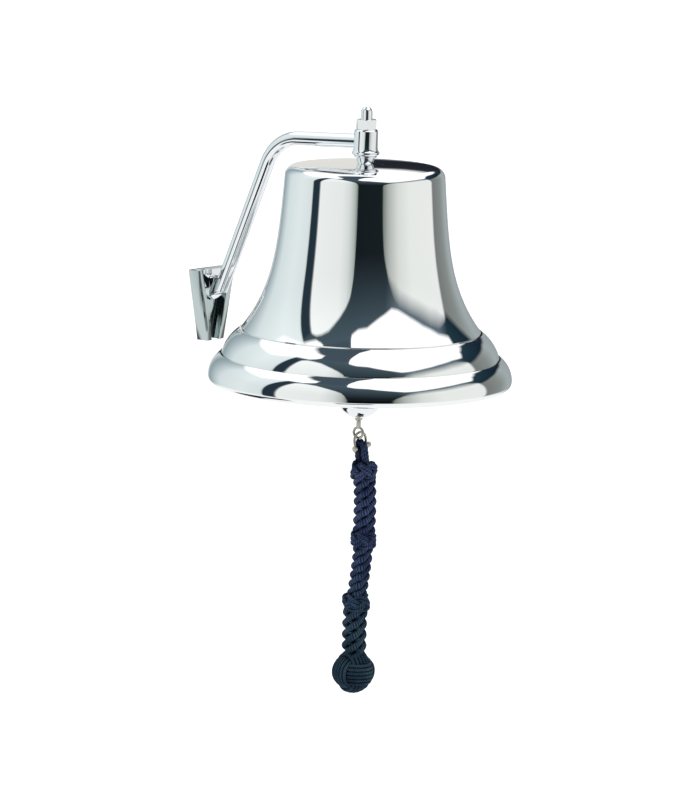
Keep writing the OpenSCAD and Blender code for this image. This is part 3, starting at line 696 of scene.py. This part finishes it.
# over the cloth a white ceiling starts at these heights, and a dark one at the second row of heights
ceilingEdges = [(-180, 26), (-176, 34), (-100, 40), (-80, 52), (-62, 54), (-56, 58), (-48, 74), (-24, 79),
                (-16, 70), (-13.5, 56), (-4, 51.5), (8, 50), (18, 44.5), (30, 38), (38, 33.5), (46, 33.5),
                (62, 36), (80, 37.5), (100, 36.5), (112, 33), (124, 38), (140, 38), (150, 32), (165, 22),
                (172, 18), (178, 12), (180, 11)]
darkEdges = [(-180, 66), (-100, 70), (-62, 68), (-52, 60), (-17, 60), (-14.5, 90), (150, 90), (165, 68),
             (180, 66)]
# dark mats on the white ground, by bearing and by height, each with soft edges
mats = [{"colour": "#18212a", "bearings": (-150, -140, -70, -62), "heights": (-52, -49.5, -37, -34)},
        {"colour": "#1c262c", "bearings": (-21, -18, 9, 14), "heights": (-44, -42, -31, -29)}]


def bearingStops(rows, read):
    return [((bearing + 180) / 360, read(value)) for bearing, value in rows]


def greyLevel(value):
    return (value, value, value, 1)


def heightLevel(degrees):
    return greyLevel(degrees / 90)


def studioWorld():
    world = bpy.data.worlds.new("studio")
    bpy.context.scene.world = world
    world.use_nodes = True
    tree = world.node_tree
    tree.nodes.clear()
    way = addNode(tree, "ShaderNodeTexCoord").outputs["Generated"]
    dots = []
    for side in ("right", "back"):
        dots.append(addNode(tree, "ShaderNodeVectorMath", {"operation": "DOT_PRODUCT", 1: studio[side]},
                            {0: way}))
    bearing = addNode(tree, "ShaderNodeMath", {"operation": "ARCTAN2"},
                      {0: dots[0].outputs["Value"], 1: dots[1].outputs["Value"]})
    share = addNode(tree, "ShaderNodeMapRange", {"From Min": -math.pi, "From Max": math.pi},
                    {"Value": bearing.outputs[0]})
    parts = addNode(tree, "ShaderNodeSeparateXYZ", {}, {"Vector": way})
    height = addNode(tree, "ShaderNodeMath", {"operation": "ARCSINE"}, {0: parts.outputs["Z"]})
    degrees = addNode(tree, "ShaderNodeMath", {"operation": "MULTIPLY", 1: 180 / math.pi},
                      {0: height.outputs[0]}).outputs[0]
    ramps = {}
    for name, rows, read in (("cards", cards, hexColour), ("cloths", cloths, hexColour),
                             ("tops", cardTops, heightLevel), ("soft", cardSoft, heightLevel),
                             ("ceiling", ceilingEdges, heightLevel), ("dark", darkEdges, heightLevel)):
        ramp = addNode(tree, "ShaderNodeValToRGB", {}, {"Fac": share.outputs["Result"]})
        fillRamp(ramp, bearingStops(rows, read))
        ramps[name] = ramp.outputs["Color"]
    masks = {}
    for name in ("tops", "ceiling", "dark"):
        above = addNode(tree, "ShaderNodeMath", {"operation": "MULTIPLY_ADD", 1: -90},
                        {0: ramps[name], 2: degrees})
        masks[name] = addNode(tree, "ShaderNodeMapRange",
                              {"From Min": -studio["soft"], "From Max": studio["soft"]},
                              {"Value": above.outputs[0]})
    for socket, scale in (("From Min", -90), ("From Max", 90)):     # the cards have soft edges of their own
        edge = addNode(tree, "ShaderNodeMath", {"operation": "MULTIPLY", 1: scale}, {0: ramps["soft"]})
        tree.links.new(edge.outputs[0], masks["tops"].inputs[socket])
    # the cards are brighter towards their tops, and the cloth is greyer the higher it hangs
    shaded = {}
    for name, span in (("cards", studio["cardSpan"]), ("cloths", studio["clothSpan"])):
        gain = addNode(tree, "ShaderNodeMapRange", {"From Min": span[0], "From Max": span[1],
                       "To Min": span[2], "To Max": span[3]}, {"Value": degrees})
        shaded[name] = addNode(tree, "ShaderNodeVectorMath", {"operation": "SCALE"},
                               {0: ramps[name], "Scale": gain.outputs["Result"]}).outputs["Vector"]
    walls = addNode(tree, "ShaderNodeMixRGB", {}, {"Fac": masks["tops"].outputs["Result"],
                    "Color1": shaded["cards"], "Color2": shaded["cloths"]})
    white = addNode(tree, "ShaderNodeMixRGB", {"Color2": studio["ceiling"]},
                    {"Fac": masks["ceiling"].outputs["Result"], "Color1": walls.outputs["Color"]})
    roof = addNode(tree, "ShaderNodeMixRGB", {"Color2": hexColour(studio["zenith"])},
                   {"Fac": masks["dark"].outputs["Result"], "Color1": white.outputs["Color"]})
    # the ground is white, with the dark mats laid on it one after another
    level = addNode(tree, "ShaderNodeMapRange", {"From Min": -90, "From Max": 0}, {"Value": degrees})
    under = None
    for mat in mats:
        heights = [((at + 90) / 90, greyLevel(v)) for at, v in zip(mat["heights"], (0, 1, 1, 0))]
        bearings = bearingStops(list(zip(mat["bearings"], (0, 1, 1, 0))), greyLevel)
        spans = []
        for source, stops in ((level, heights), (share, bearings)):
            span = addNode(tree, "ShaderNodeValToRGB", {}, {"Fac": source.outputs["Result"]})
            fillRamp(span, stops)
            spans.append(span.outputs["Color"])
        covered = addNode(tree, "ShaderNodeMath", {"operation": "MULTIPLY"}, {0: spans[0], 1: spans[1]})
        laid = addNode(tree, "ShaderNodeMixRGB",
                       {"Color1": studio["ground"], "Color2": hexColour(mat["colour"])},
                       {"Fac": covered.outputs[0]})
        if under:
            tree.links.new(under.outputs["Color"], laid.inputs["Color1"])
        under = laid
    top, foot = studio["groundSpan"]
    ground = addNode(tree, "ShaderNodeMapRange", {"From Min": top, "From Max": foot}, {"Value": degrees})
    room = addNode(tree, "ShaderNodeMixRGB", {}, {"Fac": ground.outputs["Result"],
                   "Color1": roof.outputs["Color"], "Color2": under.outputs["Color"]})
    # the bare backdrop itself is plain white
    seen = addNode(tree, "ShaderNodeLightPath").outputs["Is Camera Ray"]
    shown = addNode(tree, "ShaderNodeMixRGB", {"Color2": (1, 1, 1, 1)},
                    {"Fac": seen, "Color1": room.outputs["Color"]})
    light = addNode(tree, "ShaderNodeBackground", {"Strength": 1}, {"Color": shown.outputs["Color"]})
    addNode(tree, "ShaderNodeOutputWorld", {}, {"Surface": light.outputs["Background"]})


def softLamp(name, place, size, power):
    lamp = bpy.data.objects.new(name, bpy.data.lights.new(name, "AREA"))
    bpy.context.collection.objects.link(lamp)
    lamp.data.size = size
    lamp.data.energy = power
    lamp.location = place
    lamp.rotation_mode = "QUATERNION"
    lamp.rotation_quaternion = (Vector((axisX, 0, 0)) - Vector(place)).to_track_quat("-Z", "Y")
    lamp.visible_glossy = False
    lamp.visible_camera = False


paleFloor()
studioWorld()
softLamp("keyLamp", (0.2, -1.8, 1.6), 1.4, 30)
softLamp("fillLamp", (1.9, 0.9, 0.9), 1.6, 12)
bpy.context.scene.view_settings.view_transform = "Standard"
print("studio lit")
